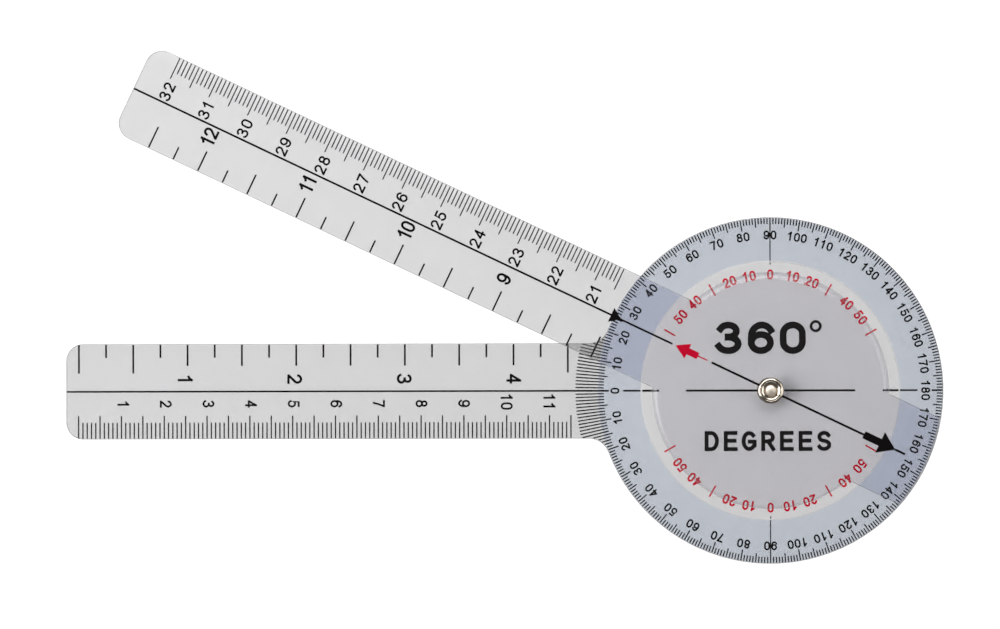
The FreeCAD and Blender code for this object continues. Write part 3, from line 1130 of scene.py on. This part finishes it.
@dataclass
class MovingPrint(RulerPrint):
    """Print on the moving arm, its hub and its tail, laid out along -X and then turned to the arm."""

    red: bpy.types.Material | None = None
    line_width: float = 0.46 * MM
    hub_line_width: float = 0.52 * MM
    first_millimetre: float = -157.63 * MM
    first_inch: float = -155.33 * MM

    def build(self) -> None:
        """Make and dress every film of this print."""
        black_pieces = [
            self.millimetres("moving_millimetre_marks", self.first_millimetre, side=1,
                             pitch=0.9962 * MM, width=0.26 * MM),
            self.inches("moving_inch_marks", self.first_inch, side=-1, pitch=6.336 * MM,
                        long=5.3 * MM, extra_long=0, width=0.38 * MM),
            self.numbers(),
            self.pointers(),
        ]
        for piece in black_pieces:
            finish_piece(piece, Body.MOVING, self.black, Slot.BLACK, -REST_OPENING)
        finish_piece(self.red_arrow(), Body.MOVING, self.red, Slot.RED, -REST_OPENING)

    def numbers(self) -> bpy.types.Object:
        """Centimetre and inch numbers."""
        shapes = FlatShapes()
        small = Lettering(self.label_height, pitch=0.82)
        large = Lettering(self.inch_label_height, aspect=0.60, pitch=0.58)
        self.labels(shapes, range(21, 33), unit=10 * MM, style=small, across=2.67 * MM,
                    ruler_sign=-1, facing=Facing.TO_TIP, along=1.0 * MM)
        self.labels(shapes, range(9, 13), unit=INCH, style=large, across=-3.1 * MM,
                    ruler_sign=-1, facing=Facing.TO_TIP, along=-0.8 * MM)
        return self.film(shapes, "moving_numbers")

    def pointers(self) -> bpy.types.Object:
        """The middle line, the triangle at the rim, and the tail's black arrow."""
        shapes = FlatShapes()
        width = self.line_width
        shapes.bar((-(self.sheets.reach - EDGE_ROUND), 0.0), (-25.4 * MM, 0.0), width)
        shapes.outline([(-41.2 * MM, 1.8 * MM), (-41.2 * MM, -1.8 * MM), (-38.7 * MM, 0.0)])
        shapes.bar((-15.3 * MM, 0.0), (-2.9 * MM, 0.0), self.hub_line_width)
        shapes.bar((2.9 * MM, 0.0), (24.0 * MM, 0.0), self.hub_line_width)
        shapes.bar((24.0 * MM, 0.0), (28.3 * MM, 0.0), 1.8 * MM)
        shapes.outline([(28.2 * MM, -2.65 * MM), (32.1 * MM, 0.0), (28.2 * MM, 2.65 * MM)])
        shapes.bar((32.0 * MM, 0.0), (34.6 * MM, 0.0), self.hub_line_width)
        return self.film(shapes, "moving_pointers")

    def red_arrow(self) -> bpy.types.Object:
        """The red arrow on the hub, pointing along the arm."""
        shapes = FlatShapes()
        shapes.outline([(-21.4 * MM, 1.9 * MM), (-24.6 * MM, 0.0), (-21.4 * MM, -1.9 * MM)])
        shapes.bar((-21.5 * MM, 0.0), (-18.8 * MM, 0.0), 1.6 * MM)
        shapes.bar((-18.8 * MM, 0.0), (-16.4 * MM, 0.0), 0.3 * MM)
        return self.film(shapes, "moving_red_arrow")


@dataclass
class TurnedProfile:
    """Half section of a turned piece, followed from its lower axis point outwards and up.

    Args:
        points: radius and height of each point.
        sharp_from: corners sharper than this stay sharp.
    """

    points: list[Point]
    sharp_from: float = radians(40)

    def to(self, radius: float, height: float) -> None:
        """Run on straight to a point, given in millimetres."""
        self.points.append((radius * MM, height * MM))

    def swell(self, radius: float, height: float, bulge: float, steps: int = 14) -> None:
        """Run on to a point along a shallow curve.

        Args:
            radius: radius of the end, in millimetres.
            height: height of the end, in millimetres.
            bulge: how far the curve's middle stands out of the chord, in millimetres.
            steps: number of straight pieces.
        """
        start = Vector(self.points[-1])
        end = Vector((radius * MM, height * MM))
        along = (end - start).normalized()
        out = Vector((along.y, -along.x)) * bulge * MM
        for step in range(1, steps + 1):
            share = step / steps
            self.points.append(tuple(start.lerp(end, share) + out * 4 * share * (1 - share)))

    def corner(self, radius: float, height: float, rising: bool, steps: int = 14) -> None:
        """Run on to a point round a quarter of an ellipse.

        Args:
            radius: radius of the end, in millimetres.
            height: height of the end, in millimetres.
            rising: whether the curve leaves upright and arrives level, or the other way round.
            steps: number of straight pieces.
        """
        x0, z0 = self.points[-1]
        x1, z1 = radius * MM, height * MM
        for step in range(1, steps + 1):
            angle = pi / 2 * step / steps
            if rising:
                self.points.append((x1 + (x0 - x1) * cos(angle), z0 + (z1 - z0) * sin(angle)))
            else:
                self.points.append((x0 + (x1 - x0) * sin(angle), z1 + (z0 - z1) * cos(angle)))

    def spin(self, name: str, steps: int = 128) -> bpy.types.Object:
        """Turn the section about the pivot axis into a closed mesh.

        Args:
            name: name of the piece.
            steps: number of facets round the axis.

        Returns:
            The new object, smooth but for its sharp corners.
        """
        builder = bmesh.new()
        rings = []
        for radius, height in self.points:
            if radius < 1e-9:
                rings.append([builder.verts.new((0.0, 0.0, height))])
            else:
                rings.append([builder.verts.new((radius * cos(a), radius * sin(a), height))
                              for a in (2 * pi * step / steps for step in range(steps))])
        closed = len(rings[0]) > 1
        pairs = zip(rings, rings[1:] + rings[:1]) if closed else zip(rings, rings[1:])
        for low, high in pairs:
            for step in range(steps):
                after = (step + 1) % steps
                corners = [low[step % len(low)], low[after % len(low)],
                           high[after % len(high)], high[step % len(high)]]
                builder.faces.new(list(dict.fromkeys(corners)))
        bmesh.ops.recalc_face_normals(builder, faces=builder.faces)
        mesh = bpy.data.meshes.new(name)
        builder.to_mesh(mesh)
        builder.free()
        mesh.shade_smooth()
        mesh.set_sharp_from_angle(angle=self.sharp_from)
        return add_object(name, mesh)


@dataclass
class Rivet:
    """The rolled rivet and its pressed washer, turned finely so that their highlights run smooth."""

    metal: NickelPlate

    def build(self) -> None:
        """Make both pieces in place of their CAD nodes."""
        material = self.metal.build()
        for piece, node in ((self.washer(), "rivet_washer"), (self.shank(), "pivot_rivet")):
            piece.data.materials.append(material)
            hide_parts(node)
            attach(piece, Body.STATIONARY.value)
            log.info("%s: %d faces for %s", piece.name, len(piece.data.polygons), node)

    @staticmethod
    def washer() -> bpy.types.Object:
        """Washer: a flat land inside a rim with a rounded shoulder."""
        section = TurnedProfile([(2.02 * MM, 4.10 * MM)])
        section.to(3.05, 4.10)
        section.to(3.05, 4.20)
        section.corner(2.50, 4.70, rising=True)
        section.corner(2.35, 4.58, rising=False)
        section.to(2.35, 4.35)
        section.to(2.02, 4.35)
        return section.spin("turned_washer")

    @staticmethod
    def shank() -> bpy.types.Object:
        """Rivet: flat head on the back, shank, and an end rolled over the washer round a domed floor."""
        section = TurnedProfile([(0.0, 0.0)])
        section.to(2.75, 0.0)
        section.corner(3.0, 0.25, rising=False)
        section.to(3.0, 0.60)
        section.to(2.0, 0.60)
        section.to(2.0, 4.35)
        section.to(2.25, 4.35)
        section.corner(2.09, 4.77, rising=True)
        section.swell(1.40, 4.30, bulge=0.07)
        section.to(1.40, 3.90)
        section.swell(0.0, 4.15, bulge=0.06)
        return section.spin("turned_rivet")


@dataclass
class Plates:
    """The two frosted plates, which keep their CAD shapes and get their finishes here.

    They cast no shadow, as clear sheet lets the light through so evenly that the floor stays bright.
    """

    stationary_finish: FrostedSheet
    moving_finish: FrostedSheet

    def dress(self) -> None:
        """Give each CAD node its material."""
        finishes = {"stationary_arm": self.stationary_finish, "moving_arm": self.moving_finish}
        for node, finish in finishes.items():
            material = finish.build()
            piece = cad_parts[node]
            for slot in piece.material_slots:
                slot.material = material
            piece.visible_shadow = False
            log.info("%s: dressed in %s", node, material.name)


# ---- studio ------------------------------------------------------------------------------------------

@dataclass(frozen=True)
class Softbox:
    """One soft rectangular light that looks at the dial.

    Args:
        name: name of the light.
        azimuth: direction it stands in, degrees from +X towards +Y.
        elevation: degrees above the floor.
        distance: how far off it stands.
        width: length of its level side.
        height: length of its other side.
        power: watts.
    """

    name: str
    azimuth: float
    elevation: float
    distance: float
    width: float
    height: float
    power: float

    def place(self) -> None:
        """Add the light to the scene."""
        data = bpy.data.lights.new(self.name, "AREA")
        data.shape = "RECTANGLE"
        data.size = self.width
        data.size_y = self.height
        data.energy = self.power
        lamp = add_object(self.name, data)
        level = self.distance * cos(radians(self.elevation))
        lamp.location = (level * cos(radians(self.azimuth)), level * sin(radians(self.azimuth)),
                         self.distance * sin(radians(self.elevation)))
        lamp.rotation_euler = (-lamp.location).to_track_quat("-Z", "Y").to_euler()


@dataclass(frozen=True)
class Studio:
    """Pale floor, soft lights and a camera that looks straight down.

    Args:
        view_width: what the camera takes in from side to side.
        view_centre: point that it looks at.
        lens: focal length, in camera millimetres.
        roll: turn of the camera about its own axis.
        sensor: width of its sensor, in camera millimetres.
        ambient: strength of the even surround.
        faces_in_a_row: see-through faces that light may cross on its way down and back.
        floor_width: side of the square floor.
        floor_gap: how far the floor lies below the object.
    """

    view_width: float = 233.6 * MM
    view_centre: Point = (-63.1 * MM, 17.87 * MM)
    lens: float = 135.0
    roll: float = radians(-0.12)
    sensor: float = 36.0
    ambient: float = 0.08
    faces_in_a_row: int = 48
    floor_width: float = 3.0
    floor_gap: float = 0.02 * MM

    def build(self, focus_height: float) -> None:
        """Make the floor, the lights, the world and the camera.

        Args:
            focus_height: height of the printed face that the view's width is measured on.
        """
        self.floor()
        self.lights()
        self.camera(focus_height)
        bpy.context.scene.cycles.transparent_max_bounces = self.faces_in_a_row
        settings = bpy.context.scene.view_settings
        settings.view_transform = "Standard"
        settings.look = "None"

    def floor(self) -> None:
        """A wide pale sheet under the object."""
        half = self.floor_width / 2
        corners = [(-half, -half, 0.0), (half, -half, 0.0), (half, half, 0.0), (-half, half, 0.0)]
        mesh = bpy.data.meshes.new("studio_floor")
        mesh.from_pydata(corners, [], [(0, 1, 2, 3)])
        mesh.materials.append(StudioPaper().build())
        floor = add_object("studio_floor", mesh)
        floor.location.z = -self.floor_gap

    def lights(self) -> None:
        """Softboxes to the left, to the right and beyond the dial, and an even surround."""
        Softbox("left_softbox", 178.0, 44.0, 1.0, 0.7, 0.6, 9.0).place()
        Softbox("right_softbox", 4.0, 44.0, 1.1, 0.8, 0.7, 3.2).place()
        Softbox("upper_softbox", 97.0, 58.0, 0.55, 0.45, 0.3, 1.7).place()
        world = bpy.data.worlds.new("surround")
        world.use_nodes = True
        background = world.node_tree.nodes["Background"]
        background.inputs["Color"].default_value = rgba(WHITE)
        background.inputs["Strength"].default_value = self.ambient
        bpy.context.scene.world = world

    def camera(self, focus_height: float) -> None:
        """A long lens straight above the middle of the view."""
        data = bpy.data.cameras.new("overhead")
        data.lens = self.lens
        data.sensor_width = self.sensor
        data.sensor_fit = "HORIZONTAL"
        data.clip_start = 0.05
        data.clip_end = 20.0
        camera = add_object("overhead", data)
        distance = self.view_width * self.lens / self.sensor
        camera.location = (*self.view_centre, focus_height + distance)
        camera.rotation_euler = Euler((0.0, 0.0, self.roll))
        bpy.context.scene.camera = camera


def main() -> None:
    """Build every piece in order and report it."""
    logging.basicConfig(level=logging.INFO, format="%(name)s: %(message)s")
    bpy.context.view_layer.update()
    sheets = Sheets.from_frame()
    Plates(
        stationary_finish=FrostedSheet(
            "frosted_stationary_sheet", zones=(FROSTED_DIAL,), clear_rim=CENTRE_RADIUS + 0.7 * MM),
        moving_finish=FrostedSheet(
            "frosted_moving_sheet", zones=(CLEAR_HUB, CLEAR_BAND_PAINTED_SHADE, FROSTED_ARM),
            borders=(CENTRE_RADIUS, sheets.rim), clear_rim=28.0 * MM),
    ).dress()
    Rivet(NickelPlate()).build()
    black = PrintInk("black_print_ink", BLACK_INK).build()
    red = PrintInk("red_print_ink", RED_INK).build()
    StationaryPrint(sheets, black, sheets.band_top, red=red, tint=TintFilm().build()).build()
    MovingPrint(sheets, black, sheets.moving_top, red=red).build()
    Studio().build(sheets.band_top)


if __name__ == "__main__":
    main()
